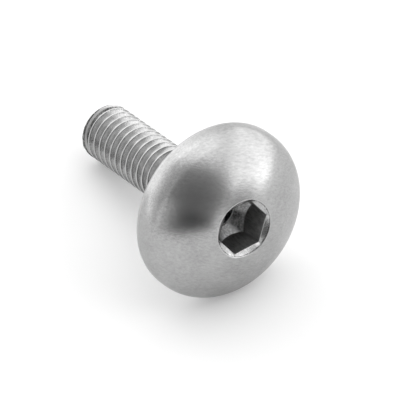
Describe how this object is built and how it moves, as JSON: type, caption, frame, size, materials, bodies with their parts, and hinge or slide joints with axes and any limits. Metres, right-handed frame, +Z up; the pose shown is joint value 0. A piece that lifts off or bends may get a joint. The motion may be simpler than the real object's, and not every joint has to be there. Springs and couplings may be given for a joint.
{
  "type": "button head screw",
  "caption": "Button head machine screw with a domed head, a hexagon socket and a threaded shank, lying on its head's edge and its tip.",
  "frame": {"origin": "centre of the underside of the box that the lying screw fills, on the surface it lies on", "axes": "+Y from the head towards the tip of the shank, +Z up"},
  "size_m": [0.0186, 0.0264, 0.018],
  "materials": {
    "steel": "satin plated steel, cold formed head and rolled thread"
  },
  "bodies": {
    "root": {"button_head_screw": "steel"}
  },
  "joints": []
}
